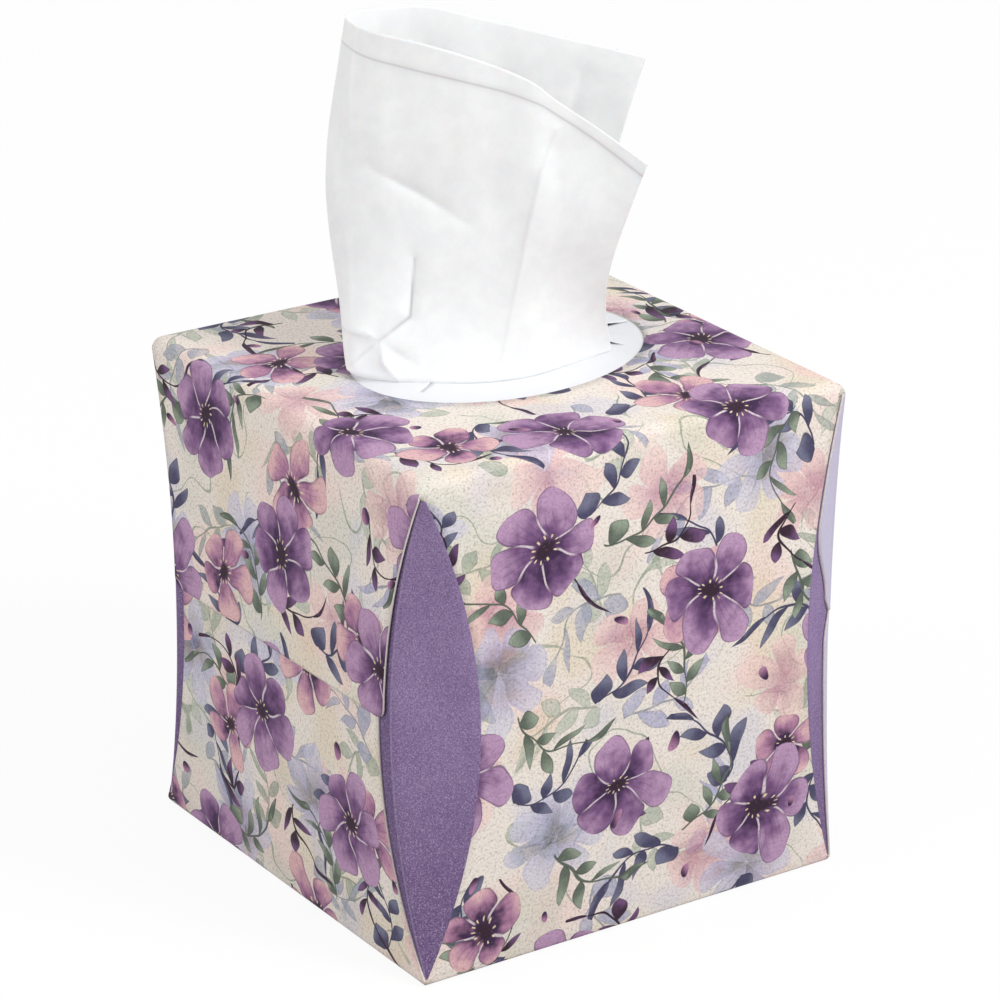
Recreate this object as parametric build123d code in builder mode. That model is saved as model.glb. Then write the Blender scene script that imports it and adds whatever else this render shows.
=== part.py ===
"""Cube tissue box with pinched corners.

A folded card carton with an oval mouth, the slit film under the mouth, the clip of interfolded
tissues bent inside, and the first sheet standing up through the mouth.
Millimetres, +Z up, origin on the table under the middle of the carton, front panel towards -Y.

The carton is a sleeve of top, front, bottom and back panels. Each end is closed by dust flaps, which
show as hollow lenses at the upright corners, and by two end flaps glued over them.
"""

import os
from math import cos, radians, sin, sqrt

from build123d import *

# Carton
BOX_WIDTH = 115.0  # along X, over the end flaps
BOX_DEPTH = 115.0  # along Y, over the front and back panels at their top and bottom edges
BOX_HEIGHT = 121.0
BOARD = 0.5  # thickness of the folded card
PANEL_BOW = 2.4  # how far each upright panel bows out at half height
TOP_FOLD_INSIDE_RADIUS = 2.5
BASE_FOLD_INSIDE_RADIUS = 0.7

# Hollow lens at each upright corner, between a curved crease and the cut edge of the end flaps
CREASE_INSET = 9.7  # crease on the front and back panels, at half height
FRONT_LEFT_CREASE_INSET = 13.2  # this corner's crease lies further in
FLAP_INSET = 9.6  # cut edge of the end flaps, at half height
FLAP_OVERHANG = 0.6  # end flap past the line where the lens meets the dust flap
LENS_TIP_GAP = 0.6  # tip of a lens to the fold of the top or bottom edge
FLAP_TIP_GAP = 0.3  # tip of an end flap's cut edge to the same fold
END_SEAM_HEIGHT = 62.0  # free edge of the upper end flap, which overlaps the lower one

# Mouth in the top panel
MOUTH_LENGTH = 76.5
MOUTH_WIDTH = 57.3
MOUTH_SETBACK = 2.8  # mouth centre behind the carton's middle
MOUTH_OFFSET = 2.9  # mouth centre to the right of the carton's middle
MOUTH_TURN = 9.8  # degrees from X to the mouth's length, seen from above

# Film glued under the mouth
FILM = 0.25
FILM_MARGIN = 11.0  # edge of the film to the outside of the carton
FILM_CORNER_RADIUS = 8.0
APERTURE_CLEARANCE = 2.5  # film to the sheet that has pushed it open
SLIT_COUNT = 12
SLIT_WIDTH = 0.7
SLIT_END_GAP = 2.0  # uncut film between a slit and the mouth's rim

# Clip of interfolded tissues, bent into an upside-down U
HEADSPACE = 9.0  # clip crest to the underside of the top panel
CLIP_CLEARANCE = 1.0  # clip to the carton's walls
SHOULDER_RADIUS = 34.0
LEG_GAP = 0.8  # between the two legs
LAYER_COUNT = 4  # bundles of sheets that show on the clip's ends
LAYER_GROOVE = 0.4  # width and depth of the line between two bundles

# Sheet that stands up through the mouth, folded once, with its fold on the left
SHEET = 0.6  # thickness of the soft multi-ply sheet
SHEET_RUNS = 24  # straight runs that each level section is drawn with
SHEET_TURN = -34.0  # degrees from X to the folded sheet's long side, seen from above
SHEET_SETBACK = 3.0  # origin of the level sections behind the carton's middle
SHEET_RISE = 81.0  # top of the fold above the top panel
SWELL_RISE = 7.0  # level where the sheet has spread out over the mouth's rim
RIM_TRIM = 4.0  # sheet above that point, which the upper edge is cut from
RIM_FALL_RIGHT = 0.25  # drop of the upper edge towards the open side, per millimetre
RIM_FALL_FRONT = 0.11  # drop of the upper edge towards the front leaf, per millimetre
DROOP_COUNT = 3  # points of the front leaf's middle line, from its open end, that droop below the rim
DROOP_FALL_RIGHT = 0.71  # drop of that corner towards the open side, per millimetre
DROOP_FALL_FRONT = 0.6  # drop of that corner towards the front, per millimetre
SKIRT_LENGTH = 84.0  # part that lies on the clip, along X
SKIRT_DROP = 20.0  # how far that part hangs over the clip's shoulders

# Level sections of the folded sheet, as (along, across) the turned sheet: the middle line of the
# front leaf from its open end to the fold, then that of the back leaf to its open end
FOOT_SECTION = (
    (25, 2), (13, -11), (2, -16.5), (-11, -17), (-23, -12), (-25, -5.5),
    (-21.5, 1.5), (-11, 8), (4, 10.5), (24, 9),
)
MOUTH_SECTION = (
    (28, 2), (15, -12.5), (3, -19), (-12, -19), (-25, -13.5), (-27.6, -6.2),
    (-24, 1.5), (-12, 9.5), (5, 12), (26.5, 9.5),
)
SWELL_SECTION = (
    (28.5, -0.5), (15, -13.2), (3.8, -19), (-12, -19.3), (-30, -13.5), (-33.4, -5.4),
    (-28, 2.5), (-12, 11), (4.5, 13.5), (27.7, 10.7),
)
WAIST_SECTION = (
    (28.5, -12.5), (15, -15.5), (6, -17.5), (-12, -16.5), (-30.5, -10.5), (-36, -3),
    (-28.5, 4), (-13, 11.5), (3, 15), (30, 13),
)
CHEST_SECTION = (
    (36, -16), (17, -15.5), (9, -16.5), (-12, -13.5), (-29, -8), (-35.5, -1.4),
    (-29, 5.3), (-14, 12), (2, 16), (34.6, 17),
)
CROWN_SECTION = (
    (36, -16), (17, -15.5), (8.5, -15.5), (-11, -12), (-26.5, -6), (-31.7, 0),
    (-27, 6), (-13, 12), (1.4, 16), (36.3, 18),
)

end_layers = 2 * BOARD
dust_level = BOX_WIDTH / 2 - end_layers
top_fold = TOP_FOLD_INSIDE_RADIUS + BOARD
base_fold = BASE_FOLD_INSIDE_RADIUS + BOARD
bow_radius = ((BOX_HEIGHT / 2) ** 2 + PANEL_BOW**2) / (2 * PANEL_BOW)
lens_top = BOX_HEIGHT - top_fold - LENS_TIP_GAP
lens_base = base_fold + LENS_TIP_GAP
lens_middle = (lens_top + lens_base) / 2
half_lens = (lens_top - lens_base) / 2
half_flap = half_lens + LENS_TIP_GAP - FLAP_TIP_GAP
panel_underside = BOX_HEIGHT - BOARD
clip_crest = panel_underside - HEADSPACE
clip_half_depth = BOX_DEPTH / 2 - BOARD - CLIP_CLEARANCE
clip_half_length = dust_level - BOARD - CLIP_CLEARANCE
clip_floor = BOARD
turned = Vector(cos(radians(SHEET_TURN)), sin(radians(SHEET_TURN)), 0)
across_turned = Vector(-turned.Y, turned.X, 0)

# Upright corners by the signs of X and Y, with the crease inset on the front or back panel
CORNERS = {
    (-1, -1): FRONT_LEFT_CREASE_INSET,
    (1, -1): CREASE_INSET,
    (1, 1): CREASE_INSET,
    (-1, 1): CREASE_INSET,
}


def bowed_block(block, half_width, half_depth, inset=0.0):
    """Fill the part with a block whose upright sides bow out, with soft folds at the top and bottom."""
    with BuildSketch(Plane.XY.offset(inset)) as slab:
        Rectangle(2 * BOX_WIDTH, 2 * BOX_DEPTH)
    extrude(slab.sketch, amount=BOX_HEIGHT - 2 * inset)
    for plane, half in (
        (Plane.XZ.offset(-BOX_DEPTH), half_width),
        (Plane.YZ.offset(-BOX_WIDTH), half_depth),
    ):
        with BuildSketch(plane) as bowed:
            with Locations((half + PANEL_BOW - bow_radius, BOX_HEIGHT / 2)):
                Circle(bow_radius)
            with Locations((bow_radius - half - PANEL_BOW, BOX_HEIGHT / 2)):
                Circle(bow_radius, mode=Mode.INTERSECT)
        extrude(bowed.sketch, amount=2 * max(BOX_WIDTH, BOX_DEPTH), mode=Mode.INTERSECT)
    fillet(block.faces().sort_by(Axis.Z)[-1].edges(), top_fold - inset)
    fillet(block.faces().sort_by(Axis.Z)[0].edges(), base_fold - inset)


def pinch_corner(signs, crease_inset, growth=0.0):
    """Cut one upright corner of the current part back to a hollow lens.

    The lens is a cylinder with level rulings from the curved crease to the dust flap. It meets
    the corner's edge at the two tips. Growth moves it into the carton.
    """
    flap_line = FLAP_INSET + FLAP_OVERHANG
    along = crease_inset + PANEL_BOW
    across = flap_line + PANEL_BOW
    chord = sqrt(along**2 + across**2)
    outward = (signs[0] * across / chord, signs[1] * along / chord, 0)
    tip = (dust_level * across + BOX_DEPTH / 2 * along) / chord
    hollow = (crease_inset * flap_line - PANEL_BOW**2) / chord
    radius = (half_lens**2 + hollow**2) / (2 * hollow)
    corner_plane = Plane((0, 0, 0), x_dir=outward, z_dir=(outward[1], -outward[0], 0))
    with BuildSketch(corner_plane) as lens:
        with Locations((tip - hollow + radius, lens_middle)):
            Circle(radius + growth)
    extrude(lens.sketch, amount=BOX_WIDTH, both=True, mode=Mode.SUBTRACT)


def arch_section(growth=0.0, floor=clip_floor, mode=Mode.ADD):
    """Draw the bent clip's outline across its legs, as an upside-down U."""
    half = clip_half_depth + growth
    crest = clip_crest + growth
    bend = SHOULDER_RADIUS * half / clip_half_depth
    with BuildLine() as arch:
        FilletPolyline((-half, floor), (-half, crest), (half, crest), (half, floor), radius=bend)
        Line((half, floor), (-half, floor))
    make_face(arch.edges(), mode=mode)


def trim_flaps():
    """Cut the curved side edges of the end flaps, right through the current part."""
    sweep = (half_flap**2 + FLAP_INSET**2) / (2 * FLAP_INSET)
    with BuildSketch(Plane.YZ) as beyond:
        for side in (-1, 1):
            with Locations((side * (BOX_DEPTH / 2 - FLAP_INSET + sweep), lens_middle)):
                Circle(sweep)
    extrude(beyond.sketch, amount=BOX_WIDTH, both=True, mode=Mode.SUBTRACT)


# End flaps, each pair drawn right through the carton so that it joins the sleeve
with BuildPart() as upper_flaps:
    bowed_block(upper_flaps, BOX_WIDTH / 2, BOX_DEPTH / 2)
    trim_flaps()
    split(bisect_by=Plane.XY.offset(END_SEAM_HEIGHT), keep=Keep.TOP)

with BuildPart() as lower_flaps:
    bowed_block(lower_flaps, BOX_WIDTH / 2 - BOARD, BOX_DEPTH / 2)
    trim_flaps()
    split(bisect_by=Plane.XY.offset(END_SEAM_HEIGHT), keep=Keep.BOTTOM)

with BuildPart() as cavity:
    bowed_block(cavity, dust_level - BOARD, BOX_DEPTH / 2 - BOARD, BOARD)
    for signs, crease_inset in CORNERS.items():
        pinch_corner(signs, crease_inset, BOARD)

with BuildPart() as carton:
    bowed_block(carton, dust_level, BOX_DEPTH / 2)
    for signs, crease_inset in CORNERS.items():
        pinch_corner(signs, crease_inset)
    add(upper_flaps.part)
    add(lower_flaps.part)
    add(cavity.part, mode=Mode.SUBTRACT)
    with BuildSketch(Plane.XY.offset(BOX_HEIGHT)):
        with Locations((MOUTH_OFFSET, MOUTH_SETBACK)):
            Ellipse(MOUTH_LENGTH / 2, MOUTH_WIDTH / 2, rotation=MOUTH_TURN)
    extrude(amount=-2 * BOARD, mode=Mode.SUBTRACT)
carton.part.label = "carton"

# Radial slits end inside the mouth's rim, and the sheet has pushed the film's middle open
with BuildSketch() as pushed_open:
    with BuildLine():
        Polyline(*MOUTH_SECTION, close=True)
    make_face()
    offset(amount=APERTURE_CLEARANCE + SHEET / 2)

with BuildSketch() as film_cut:
    with Locations((MOUTH_OFFSET, MOUTH_SETBACK)):
        with PolarLocations(0, SLIT_COUNT):
            Rectangle(2 * MOUTH_LENGTH, SLIT_WIDTH)
    with Locations((0, SHEET_SETBACK)):
        add(pushed_open.sketch, rotation=SHEET_TURN)
    with Locations((MOUTH_OFFSET, MOUTH_SETBACK)):
        Ellipse(
            MOUTH_LENGTH / 2 - SLIT_END_GAP,
            MOUTH_WIDTH / 2 - SLIT_END_GAP,
            rotation=MOUTH_TURN,
            mode=Mode.INTERSECT,
        )

with BuildPart() as mouth_film:
    with BuildSketch(Plane.XY.offset(panel_underside)):
        RectangleRounded(
            BOX_WIDTH - 2 * FILM_MARGIN, BOX_DEPTH - 2 * FILM_MARGIN, FILM_CORNER_RADIUS
        )
        add(film_cut.sketch, mode=Mode.SUBTRACT)
    extrude(amount=-FILM)
mouth_film.part.label = "mouth_film"

with BuildPart() as tissue_clip:
    with BuildSketch(Plane.YZ):
        arch_section()
        Rectangle(LEG_GAP, 2 * (clip_crest - clip_half_depth), mode=Mode.SUBTRACT)
    extrude(amount=clip_half_length, both=True)
    for side in (-1, 1):
        with BuildSketch(Plane.YZ.offset(side * clip_half_length)):
            for layer in range(1, LAYER_COUNT):
                depth = layer * clip_half_depth / LAYER_COUNT
                arch_section(-depth, -BOX_HEIGHT)
                arch_section(-depth - LAYER_GROOVE, -BOX_HEIGHT, mode=Mode.SUBTRACT)
        extrude(amount=-side * LAYER_GROOVE, mode=Mode.SUBTRACT)
    for signs, crease_inset in CORNERS.items():
        pinch_corner(signs, crease_inset, BOARD + CLIP_CLEARANCE)
tissue_clip.part.label = "tissue_clip"


def sheet_side(section, moved):
    """One side of the sheet: straight runs along its smooth middle line, moved sideways."""
    middle = Edge.make_spline([Vector(*point) for point in section])
    side = []
    for step in range(SHEET_RUNS + 1):
        run = middle % (step / SHEET_RUNS)
        side.append(middle @ (step / SHEET_RUNS) + Vector(run.Y, -run.X) * moved)
    return side


with BuildPart() as popup_tissue:
    sections = {
        clip_crest + SHEET / 2: FOOT_SECTION,
        BOX_HEIGHT: MOUTH_SECTION,
        BOX_HEIGHT + SWELL_RISE: SWELL_SECTION,
        BOX_HEIGHT + SHEET_RISE / 3: WAIST_SECTION,
        BOX_HEIGHT + SHEET_RISE * 2 / 3: CHEST_SECTION,
        BOX_HEIGHT + SHEET_RISE + RIM_TRIM: CROWN_SECTION,
    }
    for height, section in sections.items():
        front = sheet_side(section, SHEET / 2)
        rear = sheet_side(section, -SHEET / 2)
        with BuildSketch(Plane((0, SHEET_SETBACK, height), x_dir=turned)):
            with BuildLine():
                Polyline(*front, *reversed(rear), close=True)
            make_face()
    loft(ruled=True)
    fold = min(CROWN_SECTION)
    rim_normal = turned * RIM_FALL_RIGHT - across_turned * RIM_FALL_FRONT + Vector(0, 0, 1)
    rim_point = turned * fold[0] + across_turned * fold[1] + Vector(0, SHEET_SETBACK, BOX_HEIGHT + SHEET_RISE)
    split(bisect_by=Plane(rim_point, z_dir=rim_normal), keep=Keep.BOTTOM)
    kink = CROWN_SECTION[DROOP_COUNT - 1]
    kink_fall = RIM_FALL_RIGHT * (kink[0] - fold[0]) + RIM_FALL_FRONT * (fold[1] - kink[1])
    droop_normal = turned * DROOP_FALL_RIGHT - across_turned * DROOP_FALL_FRONT + Vector(0, 0, 1)
    droop_point = rim_point + turned * (kink[0] - fold[0]) + across_turned * (kink[1] - fold[1])
    droop_point -= Vector(0, 0, kink_fall)
    split(bisect_by=Plane(droop_point, z_dir=droop_normal), keep=Keep.BOTTOM)
    with BuildSketch(Plane.YZ):
        arch_section(SHEET)
        arch_section(mode=Mode.SUBTRACT)
        with Locations((0, clip_crest - SKIRT_DROP)):
            Rectangle(2 * BOX_DEPTH, BOX_HEIGHT, align=(Align.CENTER, Align.MIN), mode=Mode.INTERSECT)
    extrude(amount=SKIRT_LENGTH / 2, both=True)
popup_tissue.part.label = "popup_tissue"

os.makedirs("parts", exist_ok=True)
for piece in (carton, mouth_film, tissue_clip, popup_tissue):
    export_step(piece.part, f"parts/{piece.part.label}.step")
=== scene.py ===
"""Looks of the tissue box: a printed card carton, a slit film in its mouth and a folded sheet in it."""
import math

import bmesh
import bpy
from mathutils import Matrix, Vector, noise


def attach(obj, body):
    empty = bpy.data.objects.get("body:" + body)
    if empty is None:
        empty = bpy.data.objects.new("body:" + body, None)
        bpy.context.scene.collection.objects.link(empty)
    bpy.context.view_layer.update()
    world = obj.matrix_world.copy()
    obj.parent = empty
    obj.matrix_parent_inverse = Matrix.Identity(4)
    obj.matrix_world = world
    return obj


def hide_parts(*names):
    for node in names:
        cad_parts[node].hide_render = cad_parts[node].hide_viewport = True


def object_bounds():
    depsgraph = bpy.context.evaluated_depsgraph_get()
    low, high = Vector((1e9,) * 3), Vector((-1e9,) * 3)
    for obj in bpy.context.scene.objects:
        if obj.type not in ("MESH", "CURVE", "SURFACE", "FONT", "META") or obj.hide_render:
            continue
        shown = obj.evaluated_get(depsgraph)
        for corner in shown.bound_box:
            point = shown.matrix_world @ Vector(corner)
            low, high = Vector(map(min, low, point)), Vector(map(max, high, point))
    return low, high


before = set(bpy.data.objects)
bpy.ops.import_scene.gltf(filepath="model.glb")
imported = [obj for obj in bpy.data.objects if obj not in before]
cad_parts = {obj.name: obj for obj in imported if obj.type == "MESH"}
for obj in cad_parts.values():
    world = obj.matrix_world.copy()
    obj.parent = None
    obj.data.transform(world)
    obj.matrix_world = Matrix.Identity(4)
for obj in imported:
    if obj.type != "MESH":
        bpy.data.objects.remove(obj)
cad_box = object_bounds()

# Lengths are in millimetres and become metres when a mesh is made. The studio's are in metres.
MM = 0.001

# Carton
BOX_WIDTH = 115.0
BOX_DEPTH = 115.0
BOX_HEIGHT = 121.0
BOARD = 0.5
PANEL_BOW = 2.4
TOP_FOLD = 3.0
BASE_FOLD = 1.2
CREASE_INSET = 9.7
FRONT_LEFT_CREASE_INSET = 13.2
FLAP_INSET = 9.6
FRONT_RIGHT_FLAP_INSET = 5.5
FLAP_OVERHANG = 0.6
UPPER_FLAP_TRIM = 2.2
LOWER_FLAP_TRIM = 5.0
FLAP_CORNER = 2.5
WRAP = 0.2
WRAP_LIFT = 0.6
UPPER_WRAP = 0.93
UPPER_WRAP_START = 66.0
UPPER_WRAP_LENGTH = 22.0
UPPER_WRAP_EASE = 4.0
LOWER_WRAP_EASE = 6.0
LENS_TIP_GAP = 0.6
FLAP_TIP_GAP = 0.3
END_SEAM_HEIGHT = 62.0
SEAM_OVERLAP = 9.0
DUST_TUCK = 11.0
TUCK_GAP = 0.1
PANEL_WAVE = 0.22
PANEL_WAVE_LENGTH = 38.0
PANEL_WAVE_MARGIN = 12.0

# Mouth and film
MOUTH_LENGTH = 76.5
MOUTH_WIDTH = 57.3
MOUTH_CENTRE = Vector((2.9, 2.8))
MOUTH_TURN = math.radians(9.8)
FILM = 0.25
FILM_OVERLAP = 5.0
FILM_GAP = 0.35
FILM_LIFT = 1.1
SLIT_COUNT = 12
# Slits that the sheet pulls open: degrees off the even spacing, width, share of the ring that is cut, lift
OPEN_SLITS = {0: (1.6, 1.8, 0.95, 1.9), 7: (-7.0, 0.3, 0.5, 0.1), 11: (5.0, 0.5, 0.5, 0.6)}

# Standing sheet
SHEET_TURN = math.radians(-34.0)
SHEET_SETBACK = 3.0
SHEET_THICKNESS = 0.35
HEM_STEP = 0.35
HEM_EDGE = 0.35
WRINKLE = 1.1
FOOT_WRINKLE = 0.35
SIDE_WRINKLE = 0.5
WRINKLES_ACROSS = 0.09
WRINKLES_UP = 0.045
# Width of the painted shade line along each crease
CREASE_SHADE_WIDTH = 0.4
CREASE_FADE = 0.15
CLIP_CREST = 111.5
CLIP_SHOULDER = 34.0
CLIP_HALF_DEPTH = 56.0
SKIRT_LENGTH = 104.0
SKIRT_LEG_LENGTH = 78.0
SKIRT_REACH = 84.0
SKIRT_LIFT = 0.45

# Steps of the meshes
ACROSS = 40
UP = 44
FOLD_STEPS = 6
MOUTH_RINGS = 9
LENS_COLUMNS = 10
TUCK_COLUMNS = 4
WRAP_COLUMNS = 5
UPPER_FLAP_ROWS = 30
LOWER_FLAP_ROWS = 34
FILM_COLUMNS = 14
FILM_ROWS = 14
FOOT_STEPS = 160
RIM_STEPS = 180
SHEET_ROWS = 128
BACK_COLUMNS = 90
FRONT_COLUMNS = 190
SKIRT_ROWS = 60
SKIRT_COLUMNS = 30

# Values that follow from the sizes above
DUST_LEVEL = BOX_WIDTH / 2 - 2 * BOARD
BOW_RADIUS = ((BOX_HEIGHT / 2) ** 2 + PANEL_BOW**2) / (2 * PANEL_BOW)
LENS_TOP = BOX_HEIGHT - TOP_FOLD - LENS_TIP_GAP
LENS_BASE = BASE_FOLD + LENS_TIP_GAP
LENS_MIDDLE = (LENS_TOP + LENS_BASE) / 2
HALF_LENS = (LENS_TOP - LENS_BASE) / 2
HALF_FLAP = HALF_LENS + LENS_TIP_GAP - FLAP_TIP_GAP


def linear(red, green, blue):
    """A colour given as it looks on a screen, 0 to 255, in the linear values that shaders take."""
    def decode(value):
        share = value / 255
        return share / 12.92 if share <= 0.04045 else ((share + 0.055) / 1.055) ** 2.4

    return (decode(red), decode(green), decode(blue), 1.0)


def lerp(start, end, share):
    return start + (end - start) * share


def clamp(value, lowest=0.0, highest=1.0):
    return min(max(value, lowest), highest)


def turned(right, away, angle):
    """A level place in a frame that is turned by an angle, seen from above."""
    cosine, sine = math.cos(angle), math.sin(angle)
    return Vector((right * cosine - away * sine, right * sine + away * cosine))


def add_object(name, data):
    made = bpy.data.objects.new(name, data)
    bpy.context.scene.collection.objects.link(made)
    return made


# Meshes from patches


class Patchwork:
    """Grids of points, in millimetres, that become one welded mesh with a print map and a bake map."""

    BAKE_CELLS = 3
    BAKE_CELL = 128.0
    WELD = 0.02 * MM
    LEAST_EDGE = 0.01 * MM

    def __init__(self):
        self.points = []
        self.maps = []
        self.bakes = []
        self.faces = []
        self.slots = []

    def grid(self, rows, slot=0, cell=None, origin=(0.0, 0.0)):
        """Adds rows of (point, (u, v)) as quads. origin is the print place at the bake cell's corner."""
        start = len(self.points)
        width = len(rows[0])
        span = self.BAKE_CELLS * self.BAKE_CELL
        for row in rows:
            for point, (u, v) in row:
                self.points.append(point)
                self.maps.append((u, v))
                if cell:
                    bake_u = cell[0] * self.BAKE_CELL + u - origin[0]
                    bake_v = cell[1] * self.BAKE_CELL + v - origin[1]
                    self.bakes.append((bake_u / span, bake_v / span))
        for i in range(len(rows) - 1):
            for j in range(width - 1):
                corner = start + i * width + j
                self.faces.append((corner, corner + 1, corner + width + 1, corner + width))
                self.slots.append(slot)

    def build(self, name, centre=None):
        """The welded object, with every face turned away from the centre, if one is given."""
        mesh = bpy.data.meshes.new(name)
        faces = []
        for face in self.faces:
            a, b, c, d = (self.points[i] for i in face)
            facing = (c - a).cross(d - b)
            inwards = centre and facing.dot((a + b + c + d) / 4 - centre) < 0
            faces.append(face[::-1] if inwards else face)
        mesh.from_pydata([point * MM for point in self.points], [], faces)
        for polygon, slot in zip(mesh.polygons, self.slots):
            polygon.material_index = slot
            polygon.use_smooth = True
        for name_of_map, places in (("Print", self.maps), ("OFBake", self.bakes)):
            if places:
                layer = mesh.uv_layers.new(name=name_of_map)
                for loop in mesh.loops:
                    layer.data[loop.index].uv = places[loop.vertex_index]
        work = bmesh.new()
        work.from_mesh(mesh)
        bmesh.ops.remove_doubles(work, verts=work.verts, dist=self.WELD)
        bmesh.ops.dissolve_degenerate(work, edges=work.edges, dist=self.LEAST_EDGE)
        work.to_mesh(mesh)
        work.free()
        return add_object(name, mesh)


def thicken(piece, thickness, offset, slots=0):
    """Gives a thin piece its thickness. The slots after its own are for its inside, then for its edges."""
    solid = piece.modifiers.new("thickness", "SOLIDIFY")
    solid.thickness = thickness * MM
    solid.offset = offset
    solid.material_offset = slots
    solid.material_offset_rim = 2 * slots
    bpy.context.view_layer.update()
    graph = bpy.context.evaluated_depsgraph_get()
    mesh = bpy.data.meshes.new_from_object(piece.evaluated_get(graph), preserve_all_data_layers=True,
                                           depsgraph=graph)
    piece.modifiers.clear()
    piece.data = mesh


def steps(start, end, count):
    return [lerp(start, end, i / count) for i in range(count + 1)]


# Carton


def bow(z):
    """How far the upright panels bow out at a height."""
    return PANEL_BOW - BOW_RADIUS + math.sqrt(BOW_RADIUS**2 - (z - BOX_HEIGHT / 2) ** 2)


class Corner:
    """One hollow corner: a lens of card between a sleeve panel's crease and a line on the dust flap."""

    def __init__(self, sign_x, sign_y, inset, flap_inset):
        self.sign_x = sign_x
        self.sign_y = sign_y
        flap_line = flap_inset + FLAP_OVERHANG
        along = inset + PANEL_BOW
        across = flap_line + PANEL_BOW
        chord = math.hypot(along, across)
        self.normal_x = across / chord
        self.normal_y = along / chord
        self.tip = DUST_LEVEL * self.normal_x + BOX_DEPTH / 2 * self.normal_y
        self.hollow = (inset * flap_line - PANEL_BOW**2) / chord
        self.radius = (HALF_LENS**2 + self.hollow**2) / (2 * self.hollow)

    def depth(self, z):
        """How far the lens lies from the carton's axis, along the corner's diagonal."""
        if not LENS_BASE < z < LENS_TOP:
            return self.tip
        rise = z - LENS_MIDDLE
        return self.tip - self.hollow + self.radius - math.sqrt(self.radius**2 - rise**2)

    def crease(self, z):
        """The half width of the sleeve panel at a height."""
        side = BOX_DEPTH / 2 + bow(z)
        return min((self.depth(z) - self.normal_y * side) / self.normal_x, DUST_LEVEL)

    def dust_line(self, z):
        """The half depth at which the lens meets the dust flap."""
        side = DUST_LEVEL + bow(z)
        return min((self.depth(z) - self.normal_x * side) / self.normal_y, BOX_DEPTH / 2)


def corners():
    """The four corners by their signs of x and y. The two at the front have insets of their own."""
    insets = {
        (-1, -1): (FRONT_LEFT_CREASE_INSET, FLAP_INSET),
        (-1, 1): (CREASE_INSET, FLAP_INSET),
        (1, -1): (CREASE_INSET, FRONT_RIGHT_FLAP_INSET),
        (1, 1): (CREASE_INSET, FLAP_INSET),
    }
    return {signs: Corner(*signs, *pair) for signs, pair in insets.items()}


CROWDING = 0.7


def heights(lowest, highest, count):
    """Heights closer together near the ends, where the creases curve most."""
    found = []
    for i in range(count + 1):
        share = (1 - math.cos(math.pi * i / count)) / 2
        found.append(lerp(lowest, highest, lerp(i / count, share, CROWDING)))
    return found


PRINT_SLOT, LENS_SLOT, MARGIN_SLOT = 0, 1, 2
SLOT_COUNT = 3
BAKE_MARGIN = 3.0
SLEEVE_BAKE_MARGIN = 2.0
INSIDE_BAKE_CORNER = Vector((0.68, 0.68))
INSIDE_BAKE_SCALE = 0.3
LENS_BAKE_LEFT = -19.0
LENS_BAKE_WIDTH = 31.0


def fold_turns():
    """(share, sine, cosine) of the steps round a fold, from the flat panel to the upright one."""
    found = []
    for share in steps(0, 1, FOLD_STEPS):
        angle = math.pi / 2 * share
        found.append((share, math.sin(angle), math.cos(angle)))
    return found


def sleeve_panel(work, shapes, sign_y, cell):
    """The front or back panel, between its two curved creases, with the folds at its top and base."""
    rows = []

    def add_row(y, z, left, right, along):
        """A row at a length along the blank from the panel's base edge."""
        v = along if sign_y < 0 else 2 * BOX_HEIGHT + BOX_DEPTH - along
        rows.append([(Vector((x, sign_y * y, z)), (x, v)) for x in steps(left, right, ACROSS)])

    for share, sine, cosine in fold_turns():
        y = BOX_DEPTH / 2 - BASE_FOLD + BASE_FOLD * sine
        half = BOX_WIDTH / 2 - BOARD - BASE_FOLD + BASE_FOLD * sine
        add_row(y, BASE_FOLD - BASE_FOLD * cosine, -half, half, lerp(-BASE_FOLD, BASE_FOLD, share))
    for z in heights(BASE_FOLD, BOX_HEIGHT - TOP_FOLD, UP)[1:-1]:
        left = -shapes[-1, sign_y].crease(z)
        right = shapes[1, sign_y].crease(z)
        add_row(BOX_DEPTH / 2 + bow(z), z, left, right, z)
    for share, sine, cosine in reversed(fold_turns()):
        y = BOX_DEPTH / 2 - TOP_FOLD + TOP_FOLD * sine
        half = BOX_WIDTH / 2 - TOP_FOLD + TOP_FOLD * sine
        along = lerp(BOX_HEIGHT + TOP_FOLD, BOX_HEIGHT - TOP_FOLD, share)
        add_row(y, BOX_HEIGHT - TOP_FOLD + TOP_FOLD * cosine, -half, half, along)
    base = 0 if sign_y < 0 else BOX_HEIGHT + BOX_DEPTH - TOP_FOLD
    work.grid(rows, PRINT_SLOT, cell, (-BOX_WIDTH / 2 - BAKE_MARGIN, base - SLEEVE_BAKE_MARGIN))


def mouth_point(angle):
    """A point (x, y) of the mouth's rim, by its angle in the oval's own frame."""
    along = MOUTH_LENGTH / 2 * math.cos(angle)
    across = MOUTH_WIDTH / 2 * math.sin(angle)
    return MOUTH_CENTRE + turned(along, across, MOUTH_TURN)


def mouth_angle(x, y):
    """The angle of the rim point that lies in the direction of (x, y) from the mouth's centre."""
    along, across = turned(x - MOUTH_CENTRE.x, y - MOUTH_CENTRE.y, -MOUTH_TURN)
    return math.atan2(across / MOUTH_WIDTH, along / MOUTH_LENGTH)


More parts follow.
